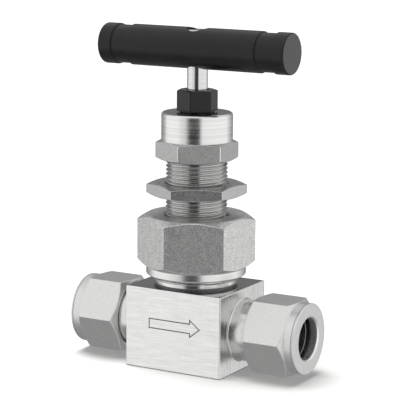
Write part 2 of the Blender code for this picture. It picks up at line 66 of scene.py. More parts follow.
# Thread form, as shares of the pitch: a 60-degree thread with narrow flat crests and roots
THREAD_DEPTH = 0.58
ROOT_HALF = 0.09
CREST_HALF = 0.075
THREAD_SOFT = 0.18
THREAD_CLEARANCE = 0.12 * MM
FITTING_PITCH = 1.27 * MM
BARREL_PITCH = 1.27 * MM
NECK_PITCH = 1.5875 * MM
STEM_PITCH = 1.0583 * MM

# Block, neck and the inside of the body
BLOCK_LENGTH = 33.34 * MM
BLOCK_WIDTH = 28.58 * MM
BLOCK_HEIGHT = 25.4 * MM
BLOCK_EDGE = 0.35 * MM
BLOCK_EDGE_STEPS = 4
PORT_HEIGHT = (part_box("outlet_nut")[0].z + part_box("outlet_nut")[1].z) / 2
NECK_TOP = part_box("valve_body")[1].z
NECK_RADIUS = 13.2 * MM
NECK_UNDERCUT = 12.3 * MM
NECK_BAND_BOTTOM = 26.2 * MM
NECK_BAND_TOP = 27.4 * MM
NECK_THREAD_BOTTOM = 27.65 * MM
NECK_BORE = 10.0 * MM
NECK_BORE_FLOOR = 33.6 * MM
ORIFICE_RADIUS = 3.2 * MM
ORIFICE_FLOOR = 6.0 * MM
INLET_ENTRY_HEIGHT = 9.0 * MM
OUTLET_ENTRY_HEIGHT = 20.5 * MM
PASSAGE_RADIUS = 2.88 * MM
SEAT_HEIGHT = 17.0 * MM
CHAMBER_RADIUS = 6.35 * MM

# The flow arrow engraved on the front
ARROW_RISE = 1.85 * MM
ARROW_TAIL = -8.25 * MM
ARROW_NECK = 6.1 * MM
ARROW_TIP = 9.45 * MM
ARROW_SHAFT = 2.9 * MM
ARROW_HEAD = 5.3 * MM
ARROW_LINE = 0.34 * MM
ARROW_DEPTH = 0.12 * MM

# Tube fittings, as distances from the block's centre along the port axis
FITTING_THREAD = 9.5 * MM
FITTING_FILLET = 0.55 * MM
FITTING_END = 30.5 * MM
TUBE_BORE = 6.45 * MM
TUBE_STOP = 16.6 * MM
PORT_BORE = 5.2 * MM
PORT_BORE_START = 11.0 * MM
MOUTH_RADIUS = 7.95 * MM
MOUTH_ANGLE = math.radians(12)
NUT_FLATS = 22.22 * MM
NUT_TURN = math.radians(90)
NUT_INNER_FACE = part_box("outlet_nut")[0].x
NUT_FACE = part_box("outlet_nut")[1].x
NUT_INNER_RADIUS = 10.5 * MM
NUT_COUNTERBORE = 2.3 * MM
NUT_SHOULDER = 36.19 * MM
NUT_COLLAR = 38.8 * MM
NUT_COLLAR_RADIUS = 10.95 * MM
NUT_CAVITY = 33.8 * MM
NUT_SEAT = 8.7 * MM
FERRULE_BORE = 6.42 * MM
FERRULE_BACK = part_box("outlet_back_ferrule")[1].x

# Union nut, bonnet, panel nut, cap and packing bolt
UNION_FLATS = 31.75 * MM
UNION_TURN = math.radians(27)
UNION_BOTTOM, UNION_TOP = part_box("union_nut")[0].z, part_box("union_nut")[1].z
UNION_COLLAR = 15.5 * MM
UNION_COLLAR_HEIGHT = 2.65 * MM
UNION_ROOF_THICKNESS = 3.5 * MM
UNION_FACE = 15.3 * MM
BARREL_RADIUS = 9.525 * MM
BONNET_BOTTOM, BONNET_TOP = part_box("bonnet")[0].z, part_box("bonnet")[1].z
SPIGOT_RADIUS = 9.7 * MM
FLANGE_RADIUS = 12.7 * MM
FLANGE_TOP = 43.5 * MM
BONNET_CHAMBER = 5.8 * MM
STEM_HOLE = 3.45 * MM
PACKING_FLOOR = 51.2 * MM
PACKING_BORE = 5.6 * MM
PACKING_OUTER = 5.45 * MM
PACKING_INNER = 3.3 * MM
PANEL_FLATS = 27.0 * MM
PANEL_TURN = math.radians(29.5)
PANEL_BOTTOM, PANEL_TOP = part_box("panel_nut")[0].z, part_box("panel_nut")[1].z
PANEL_FACE = 13.1 * MM
CAP_FLATS = 22.22 * MM
CAP_TURN = math.radians(33.3)
CAP_BOTTOM, CAP_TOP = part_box("bonnet_cap")[0].z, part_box("bonnet_cap")[1].z
CAP_HEX_TOP = 70.25 * MM
CAP_ROOF = 72.8 * MM
CAP_LIP = 1.0 * MM
CAP_CHAMFER = 0.6 * CHAMFER
CROWN_RADIUS = 11.0 * MM
BOLT_FLATS = 11.11 * MM
BOLT_TURN = math.radians(40)
BOLT_TIP, BOLT_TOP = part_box("packing_bolt")[0].z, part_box("packing_bolt")[1].z
BOLT_SHANK = 5.3 * MM

# Stem and handle
STEM_RADIUS = 3.175 * MM
STEM_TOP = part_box("upper_stem")[1].z
STEM_THREAD_BOTTOM = 68.3 * MM
BOLT_THREAD_BOTTOM = 74.0 * MM
STEM_THREAD_TOP = 84.3 * MM
CUP_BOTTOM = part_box("upper_stem")[0].z
CUP_RADIUS = 5.4 * MM
CUP_CAVITY = 4.2 * MM
CUP_LIP = 2.9 * MM
NEEDLE_TIP, BUTTON_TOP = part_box("lower_stem")[0].z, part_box("lower_stem")[1].z
HANDLE_HEIGHT = (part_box("handle_bar")[0].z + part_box("handle_bar")[1].z) / 2
HANDLE_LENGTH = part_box("handle_bar")[1].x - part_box("handle_bar")[0].x
BAR_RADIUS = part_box("handle_bar")[1].z - HANDLE_HEIGHT
BAND_START = 22.4 * MM
BAND_END = 27.7 * MM
COUNTERSINK = 3.7 * MM
SCREW_RADIUS = 1.9 * MM
SCREW_PITCH = 0.5 * MM
SCREW_SOCKET = 2.0 * MM

# Camera
CAMERA_AZIMUTH = math.radians(29.72)
CAMERA_HEIGHT = math.radians(10.40)
CAMERA_ROLL = math.radians(0.467)
CAMERA_DISTANCE = 562.3 * MM
CAMERA_TARGET = Vector((-3.61 * MM, 8.47 * MM, 49.85 * MM))
CAMERA_LENS = 161.46
CAMERA_SENSOR = 36.0

# Studio: levels of light by bearing from the camera, in degrees, and by height above the horizon
FLOOR_SIZE = 6.0
PANELS = (
    (-180, 0.24), (-150, 0.30), (-128, 0.50), (-112, 1.15), (-64, 1.15), (-56, 0.98), (-40, 0.90),
    (-22, 0.06), (5, 0.06), (17, 1.10), (108, 1.15), (126, 0.70), (150, 0.32), (180, 0.24),
)
OVERHEAD = (
    (-180, 0.80), (-120, 0.90), (-90, 1.10), (-30, 1.05), (40, 0.95), (90, 0.95), (140, 0.80), (180, 0.80),
)
OVERHEAD_SHARE = ((-90, 0.0), (20, 0.0), (36, 1.0), (90, 1.0))
UNDER = ((-180, 0.32), (-66, 0.32), (-36, 0.80), (36, 0.80), (66, 0.32), (180, 0.32))
UNDER_SHARE = ((-90, 1.0), (-38, 1.0), (-22, 0.0), (90, 0.0))
DIFFUSE_LEVEL = 0.28
BACKGROUND_LEVEL = 0.98
OVERHEAD_ENERGY = 3.7
OVERHEAD_SPREAD = math.radians(42)
OVERHEAD_DIRECTION = Vector((0.20, -0.02, -0.97))
FLOOR_GLOW = 0.10

OUTWARD_X = (0.0, math.radians(90), 0.0)
OUTWARD_MINUS_X = (0.0, math.radians(-90), 0.0)
OUTWARD_Y = (math.radians(-90), 0.0, 0.0)


# ---------------------------------------------------------------- materials


class Graph:
    """A small helper for one material's nodes."""

    def __init__(self, name):
        self.material = bpy.data.materials.new(name)
        self.material.use_nodes = True
        self.tree = self.material.node_tree
        self.shader = self.tree.nodes["Principled BSDF"]
        self.coordinates = self.tree.nodes.new("ShaderNodeTexCoord").outputs["Object"]

    def node(self, kind, inputs=None, **settings):
        made = self.tree.nodes.new(kind)
        for key, value in settings.items():
            setattr(made, key, value)
        for key, value in (inputs or {}).items():
            self.put(made.inputs[key], value)
        return made

    def put(self, socket, value):
        if isinstance(value, bpy.types.NodeSocket):
            self.tree.links.new(value, socket)
        else:
            socket.default_value = value

    def math(self, operation, first, second=0.0):
        made = self.node("ShaderNodeMath", operation=operation)
        self.put(made.inputs[0], first)
        self.put(made.inputs[1], second)
        return made.outputs[0]

    def scaled(self, scale):
        """Object coordinates, stretched by a scale for each axis."""
        return self.node("ShaderNodeMapping", {"Vector": self.coordinates, "Scale": scale}).outputs[0]

    def noise(self, vector, scale, detail=2.0):
        inputs = {"Vector": vector, "Scale": scale, "Detail": detail}
        return self.node("ShaderNodeTexNoise", inputs).outputs["Fac"]

    def ranged(self, value, low, high, from_low=0.3, from_high=0.7):
        inputs = {"Value": value, "From Min": from_low, "From Max": from_high, "To Min": low, "To Max": high}
        return self.node("ShaderNodeMapRange", inputs).outputs[0]

    def tint(self, share, dark, light):
        """A colour between two greys."""
        made = self.node("ShaderNodeMix", data_type="RGBA")
        self.put(made.inputs[0], share)
        self.put(made.inputs[6], (*dark, 1.0))
        self.put(made.inputs[7], (*light, 1.0))
        return made.outputs[2]

    def blend(self, first, second, share):
        """Two values mixed, the first by its share."""
        return self.math(
            "ADD", self.math("MULTIPLY", first, share), self.math("MULTIPLY", second, 1.0 - share)
        )

    def around(self):
        """(radius from local Z, height along local Z), for marks left by a lathe."""
        split = self.node("ShaderNodeSeparateXYZ", {"Vector": self.coordinates})
        x, y, z = split.outputs
        squares = self.math("ADD", self.math("MULTIPLY", x, x), self.math("MULTIPLY", y, y))
        return self.math("SQRT", squares), z

    def colour(self, mixed, dark, light):
        """Colours the shader between two greys."""
        tint = self.tint(self.ranged(mixed, 0.0, 1.0), dark, light)
        self.put(self.shader.inputs["Base Color"], tint)

    def rough(self, worn, roughness, swing):
        """Lets the roughness swing to either side of a value."""
        self.put(self.shader.inputs["Roughness"], self.ranged(worn, roughness - swing, roughness + swing))

    def bump(self, height, strength, distance):
        inputs = {"Height": height, "Strength": strength, "Distance": distance}
        self.put(self.shader.inputs["Normal"], self.node("ShaderNodeBump", inputs).outputs[0])

    def set(self, **values):
        """Plain values for the shader's inputs, with _ for a space in a name."""
        for key, value in values.items():
            self.shader.inputs[key.replace("_", " ")].default_value = value


def drawn_steel(name, dark, light, roughness, grain, depth, even=0.55):
    """Bar stock with fine grain along one axis, and a little broad mottling."""
    graph = Graph(name)
    lines = graph.noise(graph.scaled(grain), 1.0, 3.0)
    mottle = graph.noise(graph.coordinates, 420.0, 3.0)
    mixed = graph.blend(lines, mottle, even)
    graph.colour(mixed, dark, light)
    graph.set(Metallic=1.0)
    graph.rough(mixed, roughness, 0.05)
    graph.bump(lines, 0.35, depth * MM)
    return graph.material


def tumbled_steel(name, dark, light, roughness, grain=2600.0, depth=0.02):
    """Steel with an even, stone-washed or blasted surface: fine speckle over a faint mottling."""
    graph = Graph(name)
    fine = graph.noise(graph.coordinates, grain, 2.0)
    broad = graph.noise(graph.coordinates, grain / 7.0, 3.0)
    mixed = graph.blend(fine, broad, 0.85)
    graph.colour(mixed, dark, light)
    graph.set(Metallic=1.0)
    graph.rough(mixed, roughness, 0.06)
    graph.bump(fine, 0.45, depth * MM)
    return graph.material


def turned_steel(name, dark, light, roughness, pitch=0.11, depth=0.004, swing=0.05):
    """Metal from a lathe: fine rings round local Z, some brighter than others."""
    graph = Graph(name)
    radius, height = graph.around()
    along = graph.math("ADD", height, graph.math("MULTIPLY", radius, 0.83))
    across = graph.math("MULTIPLY", radius, 0.35)
    rings = graph.node("ShaderNodeCombineXYZ", {"X": along, "Y": across}).outputs[0]
    fine = graph.noise(rings, 1.0 / (pitch * MM), 2.0)
    broad = graph.noise(rings, 1.0 / (pitch * 5 * MM), 3.0)
    smear = graph.noise(graph.coordinates, 260.0, 2.0)
    mixed = graph.blend(fine, broad, 0.5)
    graph.colour(mixed, dark, light)
    graph.set(Metallic=1.0)
    graph.rough(graph.blend(mixed, smear, 0.7), roughness, swing)
    graph.bump(fine, 0.4, depth * MM)
    return graph.material


def coated(name, dark, light, roughness, metallic=0.0, grain=2200.0, depth=0.01, specular=0.5):
    """A coating over metal: fine orange-peel with rubbed, slightly glossier patches."""
    graph = Graph(name)
    fine = graph.noise(graph.coordinates, grain, 3.0)
    broad = graph.noise(graph.coordinates, 180.0, 3.0)
    graph.colour(graph.blend(fine, broad, 0.4), dark, light)
    graph.set(Metallic=metallic, Specular_IOR_Level=specular)
    graph.rough(broad, roughness, 0.05)
    graph.bump(fine, 0.3, depth * MM)
    return graph.material


def anodised(name, dark, light, roughness):
    """Black anodised bar: fine turning rings under a satin black layer."""
    graph = Graph(name)
    radius, height = graph.around()
    rings = graph.node("ShaderNodeCombineXYZ", {"X": height, "Y": radius}).outputs[0]
    fine = graph.noise(rings, 1.0 / (0.16 * MM), 2.0)
    broad = graph.noise(graph.coordinates, 150.0, 3.0)
    mixed = graph.blend(fine, broad, 0.45)
    graph.colour(mixed, dark, light)
    graph.set(Specular_IOR_Level=0.3)
    graph.rough(mixed, roughness, 0.05)
    graph.bump(fine, 0.3, 0.006 * MM)
    return graph.material


def grey(value):
    """A grey a touch warmer than neutral."""
    return (value, value, value * 0.99)


def glowing(material, strength):
    """Gives a material a faint even light of its own, as a lit table top has."""
    shader = material.node_tree.nodes["Principled BSDF"]
    shader.inputs["Emission Color"].default_value = (1.0, 1.0, 1.0, 1.0)
    shader.inputs["Emission Strength"].default_value = strength
    return material


MATERIALS = {
    "block": drawn_steel("block_steel", grey(0.60), grey(0.92), 0.30, (110.0, 6500.0, 6500.0), 0.010, 0.86),
    "block_end": drawn_steel(
        "block_end_steel", grey(0.60), grey(0.86), 0.24, (2600.0, 2600.0, 110.0), 0.006, 0.7
    ),
    # painted shade: the block's top face gets darker greys than its sides
    "block_top_painted_shade": drawn_steel("block_top_painted_shade_steel", grey(0.38), grey(0.50), 0.15, (90.0, 2200.0, 2200.0), 0.005),
    "port": drawn_steel("port_steel", grey(0.56), grey(0.76), 0.23, (2600.0, 70.0, 70.0), 0.003),
    # painted shade: dark, dull greys for the groove under the neck's band and the block's lowest edge,
    # standing in for the shade there
    "painted_shade": tumbled_steel("painted_shade_steel", grey(0.12), grey(0.26), 0.50),
    "collar": turned_steel("collar_steel", grey(0.62), grey(0.78), 0.26),
    "panel": tumbled_steel("panel_nut_steel", grey(0.42), grey(0.62), 0.31),
    "neck": drawn_steel("neck_steel", grey(0.60), grey(0.76), 0.17, (70.0, 70.0, 2600.0), 0.003),
    "hex": tumbled_steel("hexagon_steel", grey(0.61), grey(0.74), 0.38),
    "cap_hex": tumbled_steel("cap_hexagon_steel", grey(0.34), grey(0.58), 0.42),
    "bore": tumbled_steel("bore_steel", grey(0.52), grey(0.74), 0.50),
    # partly a machined finish, partly painted highlight: lighter greys give the tube nuts a bright ring at
    # the inner face's rim and the bore's chamfer
    "machined_rim_and_highlight": turned_steel("machined_rim_and_highlight_steel", grey(0.78), grey(0.90), 0.30),
    "union": tumbled_steel("union_nut_steel", grey(0.32), grey(0.92), 0.40, 3600.0, 0.035),
    "turned": turned_steel("turned_steel", grey(0.46), grey(0.60), 0.18),
    "polished": turned_steel("polished_steel", grey(0.58), grey(0.84), 0.22, 0.10, 0.006, 0.13),
    # painted shade: the cap's flat top gets dark greys for the dark it shows under the light
    "cap_top_painted_shade": turned_steel("faced_steel_painted_shade", grey(0.24), grey(0.40), 0.15),
    "ferrule": turned_steel("ferrule_steel", grey(0.55), grey(0.66), 0.22),
    "bolt": coated("black_dry_film", grey(0.002), grey(0.005), 0.16, 0.0, 2200.0, 0.01, 0.34),
    "bar": anodised("black_anodised", grey(0.004), grey(0.010), 0.33),
    # painted reflection: the bar's end faces get lighter greys than its black sides, for the light they
    # reflect
    "bar_end_painted_reflection": coated("turned_bar_end_painted_reflection", grey(0.045), grey(0.075), 0.42),
    "screw": coated("black_oxide", grey(0.02), grey(0.04), 0.38, 0.6),
    "packing": coated("moulded_packing", grey(0.74), grey(0.80), 0.50, 0.0, 900.0, 0.02),
    "stem": turned_steel("ground_stem_steel", grey(0.56), grey(0.72), 0.10, 0.13, 0.003),
    "engraved": coated("engraved_line", grey(0.16), grey(0.22), 0.6, 0.5, 3000.0, 0.02),
    "floor": glowing(coated("studio_floor", grey(0.77), grey(0.78), 0.9, 0.0, 60.0, 0.01), FLOOR_GLOW),
}


# ---------------------------------------------------------------- lofting


class Row:
    """One ring of a loft. Radius and height are numbers, or functions of the angle round the axis.

    soft is how far the rounding of the ring's own edge reaches to either side.
    """

    def __init__(self, radius, height, soft=0.0):
        self.radius = radius
        self.height = height
        self.soft = soft

    def at(self, angle):
        radius = self.radius(angle) if callable(self.radius) else self.radius
        height = self.height(angle) if callable(self.height) else self.height
        return Vector((radius, height))


def outline(rows, angle):
    """The closed outline of a piece at one angle, with its soft corners rounded."""
    corners = [row.at(angle) for row in rows]
    points = []
    for index, row in enumerate(rows):
        corner = corners[index]
        if not row.soft:
            points.append(corner)
            continue
        before = corners[index - 1] - corner
        after = corners[(index + 1) % len(corners)] - corner
        reach = min(row.soft, LEG_SHARE * before.length, LEG_SHARE * after.length)
        start = corner + before.normalized() * reach
        end = corner + after.normalized() * reach
        for step in range(SOFT_STEPS + 1):
            share = step / SOFT_STEPS
            points.append(start * (1 - share) ** 2 + corner * 2 * share * (1 - share) + end * share**2)
    return points


def rounding(flats):
    """How far out a hexagon's round corners have their centres, and the angle at which they start."""
    middle = (flats / 2 - RIB_RADIUS) / math.cos(SIXTH / 2)
    return middle, math.atan2(middle * math.sin(SIXTH / 2), flats / 2)


def hexagon(flats, turn=0.0):
    """The radius of a hexagon with slightly round corners, the first of them at the angle turn."""
    middle, tangent = rounding(flats)

    def radius(angle):
        off = abs((angle - turn) % SIXTH - SIXTH / 2)
        if off <= tangent:
            return flats / 2 / math.cos(off)
        side = SIXTH / 2 - off
        return middle * math.cos(side) + math.sqrt(RIB_RADIUS**2 - (middle * math.sin(side)) ** 2)

    return radius


def hexagon_angles(flats, turn=0.0):
    """Column angles for a hexagonal piece: even ones, and more round each corner."""
    span = SIXTH / 2 - rounding(flats)[1]
    angles = [turn + math.tau * step / COLUMNS for step in range(COLUMNS + 1)]
    for corner in range(7):
        for share in (-1.0, -0.5, 0.5, 1.0):
            angle = turn + SIXTH * corner + span * share
            if turn < angle < turn + math.tau:
                angles.append(angle)
    return sorted(angles)


def round_angles(count=COLUMNS):
    return [math.tau * step / count for step in range(count + 1)]


def meets(radius, face_radius, face_height, slope):
    """The height at which a hexagon's sides meet a cone that starts at a round face."""
    return lambda angle: face_height + max(radius(angle) - face_radius, 0.0) * slope


def thread_outline(depth):
    """One pitch of a thread, as (share of the pitch, depth below the crest), with softened corners."""
    corners = [(0.0, depth), (ROOT_HALF, depth), (0.5 - CREST_HALF, 0.0), (0.5 + CREST_HALF, 0.0)]
    corners += [(1.0 - ROOT_HALF, depth), (1.0, depth)]
    points = [corners[0]]
    for before, corner, after in zip(corners, corners[1:], corners[2:]):
        for pull in (before, after):
            points.append(tuple(at + (to - at) * THREAD_SOFT for at, to in zip(corner, pull)))
    return points + [corners[-1]]


def thread_rows(bottom, top, major, pitch, inside=False):
    """Rows of a right-handed thread between two heights, run out to its root at both ends.

    Its phase depends only on the height and the angle, so a bolt's and a nut's threads always mesh.
    """
    depth = THREAD_DEPTH * pitch
    shares, drops = zip(*thread_outline(depth))

    def station(turn, share):
        def height(angle):
            return min(max(pitch * (turn + share + angle / math.tau), bottom), top)

        def radius(angle):
            level = height(angle)
            phase = (level / pitch - angle / math.tau) % 1.0
            form = major - float(np.interp(phase, shares, drops))
            rise = min(level - bottom, top - level)
            if inside:
                return max(form, major - rise) + THREAD_CLEARANCE
            return min(form, major - depth + rise)

        return Row(radius, height)

    first = math.floor(bottom / pitch) - 2
    last = math.ceil(top / pitch) + 1
    return [station(turn, share) for turn in range(first, last) for share in shares[:-1]]


def loft(rows, angles):
    """A closed bmesh through the rows, in order, and back to the first."""
    bm = bmesh.new()
    grid = []
    for angle in angles:
        line = [(radius * math.cos(angle), radius * math.sin(angle), z) for radius, z in outline(rows, angle)]
        grid.append([bm.verts.new(place) for place in line])
    for here, there in zip(grid, grid[1:]):
        for index in range(len(here)):
            after = (index + 1) % len(here)
            bm.faces.new((here[index], there[index], there[after], here[after]))
    bmesh.ops.remove_doubles(bm, verts=bm.verts, dist=MERGE)
    bmesh.ops.dissolve_degenerate(bm, dist=MERGE, edges=bm.edges)
    bmesh.ops.recalc_face_normals(bm, faces=bm.faces)
    return bm


def mesh_object(name, bm, materials, location=(0, 0, 0), rotation=(0, 0, 0)):
    """An object from a bmesh, which it uses up."""
    mesh = bpy.data.meshes.new(name)
    bm.to_mesh(mesh)
    bm.free()
    for material in materials:
        mesh.materials.append(MATERIALS[material])
    obj = bpy.data.objects.new(name, mesh)
    obj.location = location
    obj.rotation_euler = rotation
    bpy.context.scene.collection.objects.link(obj)
    return obj


def carve(obj, operation, bm):
    """Joins or cuts a shape, given in the world's frame, into an object's mesh for good."""
    tool = mesh_object("tool", bm, [])
    modifier = obj.modifiers.new("carve", "BOOLEAN")
    modifier.operation = operation
    modifier.solver = "MANIFOLD"
    modifier.object = tool
    graph = bpy.context.evaluated_depsgraph_get()
    carved = bpy.data.meshes.new_from_object(obj.evaluated_get(graph), depsgraph=graph)
    obj.modifiers.remove(modifier)
    obj.data = carved
    bpy.data.objects.remove(tool)


def laid(bm, rotation, location):
    """Moves a bmesh built along Z to lie along another axis."""
    place = Matrix.Translation(location) @ Matrix.Rotation(rotation[1], 4, "Y")
    place = place @ Matrix.Rotation(rotation[0], 4, "X")
    bmesh.ops.transform(bm, matrix=place, verts=bm.verts)
    return bm


def settle(obj, node, body):
    """Finishes a piece: its shading, the body that it rides on and the node that it stands for."""
    obj.data.shade_smooth()
    obj.data.set_sharp_from_angle(angle=SHARP)
    weighted = obj.modifiers.new("weighted_normals", "WEIGHTED_NORMAL")
    weighted.keep_sharp = True
    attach(obj, body)
    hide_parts(node)
    return obj


def repaint(obj, material, chosen):
    """Gives another material to the faces for which chosen(face) is true."""
    obj.data.materials.append(MATERIALS[material])
    for face in obj.data.polygons:
        if chosen(face):
            face.material_index = len(obj.data.materials) - 1


def away(face):
    """How far a face is from its piece's local Z."""
    return math.hypot(face.center.x, face.center.y)


def piece(node, rows, angles, body, material, location=(0, 0, 0), rotation=(0, 0, 0)):
    """One lofted piece, standing for the node of the same name."""
    obj = mesh_object(node + "_detailed", loft(rows, angles), [material], location, rotation)
    return settle(obj, node, body)


# ---------------------------------------------------------------- valve body


def block():
    """The forged block with soft edges."""
    bm = bmesh.new()
    bmesh.ops.create_cube(bm, size=1)
    bmesh.ops.scale(bm, vec=(BLOCK_LENGTH, BLOCK_WIDTH, BLOCK_HEIGHT), verts=bm.verts)
    bmesh.ops.translate(bm, vec=(0, 0, BLOCK_HEIGHT / 2), verts=bm.verts)
    steps = BLOCK_EDGE_STEPS
    bmesh.ops.bevel(bm, geom=bm.edges, offset=BLOCK_EDGE, segments=steps, profile=0.5, affect="EDGES")
    return bm


def neck():
    """The threaded neck under the union nut, with a recessed groove, later given painted shade, and a
    polished band above the block.
    """
    foot = BLOCK_HEIGHT - BLOCK_EDGE - 3 * MM
    band = NECK_RADIUS - 0.05 * MM
    line = NECK_RADIUS - 0.3 * MM
    rows = [
        Row(0, foot),
        Row(NECK_UNDERCUT, foot),
        Row(NECK_UNDERCUT, NECK_BAND_BOTTOM, 0.1 * MM),
        Row(band, NECK_BAND_BOTTOM, 0.2 * MM),
        Row(band, NECK_BAND_TOP, 0.12 * MM),
        Row(line, NECK_BAND_TOP + 0.05 * MM, 0.04 * MM),
        Row(line, NECK_THREAD_BOTTOM - 0.1 * MM, 0.04 * MM),
    ]
    rows += thread_rows(NECK_THREAD_BOTTOM, NECK_TOP - 0.05 * MM, NECK_RADIUS, NECK_PITCH)
    rows += [Row(NECK_RADIUS - 1.1 * MM, NECK_TOP, 0.1 * MM), Row(0, NECK_TOP)]
    return loft(rows, round_angles(FINE_COLUMNS))


def spigot():
    """One male end of a tube fitting, along local +Z from inside the block: plain, then threaded."""
    wall = BLOCK_LENGTH / 2
    plain_end = NUT_INNER_FACE + 0.4 * MM
    rows = [Row(0, PORT_BORE_START), Row(FITTING_THREAD + FITTING_FILLET, PORT_BORE_START)]
    for step in range(SOFT_STEPS + 1):
        turn = math.radians(90) * step / SOFT_STEPS
        radius = FITTING_THREAD + FITTING_FILLET * (1 - math.sin(turn))
        rows.append(Row(radius, wall + FITTING_FILLET * (1 - math.cos(turn))))
    rows.append(Row(FITTING_THREAD, plain_end, 0.05 * MM))
    rows += thread_rows(plain_end + 0.1 * MM, FITTING_END - 0.05 * MM, FITTING_THREAD, FITTING_PITCH)
    rows += [Row(FITTING_THREAD - 0.95 * MM, FITTING_END, 0.1 * MM), Row(0, FITTING_END)]
    return loft(rows, round_angles(FITTING_COLUMNS))


def fitting_bore():
    """The space inside one tube fitting, with the cone that the front ferrule seats in."""
    slope = math.tan(MOUTH_ANGLE)
    cone_start = FITTING_END - (MOUTH_RADIUS - TUBE_BORE) / slope
    rows = [
        Row(0, PORT_BORE_START),
        Row(PORT_BORE, PORT_BORE_START),
        Row(PORT_BORE, TUBE_STOP, 0.12 * MM),
        Row(TUBE_BORE, TUBE_STOP, 0.15 * MM),
        Row(TUBE_BORE, cone_start, 0.3 * MM),
        Row(MOUTH_RADIUS + MM * slope, FITTING_END + MM),
        Row(0, FITTING_END + MM),
    ]
    return loft(rows, round_angles())


def chamber():
    """The orifice, the seat, the needle's chamber and the bore for the bonnet's spigot."""
    rows = [
        Row(0, ORIFICE_FLOOR),
        Row(ORIFICE_RADIUS, ORIFICE_FLOOR, 0.8 * MM),
        Row(ORIFICE_RADIUS, SEAT_HEIGHT - 1.0 * MM, 0.1 * MM),
        Row(ORIFICE_RADIUS + 1.0 * MM, SEAT_HEIGHT, 0.1 * MM),
        Row(CHAMBER_RADIUS, SEAT_HEIGHT, 0.5 * MM),
        Row(CHAMBER_RADIUS, NECK_BORE_FLOOR, 0.15 * MM),
        Row(NECK_BORE, NECK_BORE_FLOOR, 0.3 * MM),
        Row(NECK_BORE, NECK_TOP - 0.5 * MM, 0.1 * MM),
        Row(NECK_BORE + 1.5 * MM, NECK_TOP + 1.0 * MM),
        Row(0, NECK_TOP + 1.0 * MM),
    ]
    return loft(rows, round_angles())


def drilling(start, end):
    """A drilled passage between two points."""
    direction = Vector(end) - Vector(start)
    length = direction.length
    rows = [Row(0, 0), Row(PASSAGE_RADIUS, 0), Row(PASSAGE_RADIUS, length), Row(0, length)]
    bm = loft(rows, round_angles(HOLE_COLUMNS))
    turn = direction.to_track_quat("Z", "Y").to_matrix().to_4x4()
    bmesh.ops.transform(bm, matrix=Matrix.Translation(start) @ turn, verts=bm.verts)
    return bm


def offset(corners, distance):
    """A closed outline moved outwards by a distance, with mitred corners."""
    moved = []
    for index, corner in enumerate(corners):
        before = (corner - corners[index - 1]).normalized()
        after = (corners[(index + 1) % len(corners)] - corner).normalized()
        first = Vector((before.y, -before.x))
        second = Vector((after.y, -after.x))
        moved.append(corner + (first + second) * distance / (1 + first.dot(second)))
    return moved


def arrow_groove():
    """The engraved line of the flow arrow on the block's front, as a cutter."""
    middle = PORT_HEIGHT + ARROW_RISE
    half = [
        (ARROW_TAIL, middle - ARROW_SHAFT / 2),
        (ARROW_NECK, middle - ARROW_SHAFT / 2),
        (ARROW_NECK, middle - ARROW_HEAD / 2),
    ]
    mirrored = [(x, 2 * middle - z) for x, z in reversed(half)]
    corners = [Vector(point) for point in half + [(ARROW_TIP, middle)] + mirrored]
    outer = offset(corners, ARROW_LINE / 2)
    inner = offset(corners, -ARROW_LINE / 2)
    front = -BLOCK_WIDTH / 2 - 0.5 * MM
    floor = -BLOCK_WIDTH / 2 + ARROW_DEPTH
    bm = bmesh.new()
    loops = []
    for points, depth in ((outer, front), (inner, front), (inner, floor), (outer, floor)):
        loops.append([bm.verts.new((x, depth, z)) for x, z in points])
    for here, there in zip(loops, loops[1:] + loops[:1]):
        for index in range(len(here)):
            after = (index + 1) % len(here)
            bm.faces.new((here[index], here[after], there[after], there[index]))
    bmesh.ops.recalc_face_normals(bm, faces=bm.faces)
    return bm


def make_valve_body():
    finishes = ["block", "engraved", "port", "block_end", "block_top_painted_shade", "neck", "painted_shade"]
    body = mesh_object("valve_body_detailed", block(), finishes)
    carve(body, "UNION", neck())
    for rotation in (OUTWARD_MINUS_X, OUTWARD_X):
        carve(body, "UNION", laid(spigot(), rotation, (0, 0, PORT_HEIGHT)))
    for rotation in (OUTWARD_MINUS_X, OUTWARD_X):
        carve(body, "DIFFERENCE", laid(fitting_bore(), rotation, (0, 0, PORT_HEIGHT)))
    carve(body, "DIFFERENCE", chamber())
    start = PORT_BORE_START + PORT_BORE / 2
    carve(body, "DIFFERENCE", drilling((-start, 0, PORT_HEIGHT), (0, 0, INLET_ENTRY_HEIGHT)))
    entry = (CHAMBER_RADIUS / 2, 0, OUTLET_ENTRY_HEIGHT)
    carve(body, "DIFFERENCE", drilling((start, 0, PORT_HEIGHT), entry))
    carve(body, "DIFFERENCE", arrow_groove())
    front = -BLOCK_WIDTH / 2
    for face in body.data.polygons:
        finish = "block"
        x, y, z = face.center
        sunk = abs(x) < ARROW_TIP + MM and front + 0.2 * ARROW_DEPTH < y < front + 1.5 * ARROW_DEPTH
        if sunk and abs(z - PORT_HEIGHT - ARROW_RISE) < ARROW_HEAD:
            finish = "engraved"
        elif abs(x) > BLOCK_LENGTH / 2 + 0.02 * MM:
            finish = "port"
        elif z > BLOCK_HEIGHT + 0.02 * MM:
            # the groove under the neck's band gets the painted shade
            finish = "neck" if z > NECK_BAND_BOTTOM - 0.02 * MM else "painted_shade"
        elif z < 0.7 * BLOCK_EDGE and face.normal.z > -0.99:
            # the block's lowest rounded edge gets the painted shade, as a thin contact shadow
            finish = "painted_shade"
        elif abs(face.normal.x) > 0.9:
            finish = "block_end"
        elif face.normal.z > 0.9:
            # the top face gets the darker painted shade
            finish = "block_top_painted_shade"
        face.material_index = finishes.index(finish)
    settle(body, "valve_body", "valve")


# ---------------------------------------------------------------- bonnet, nuts and packing


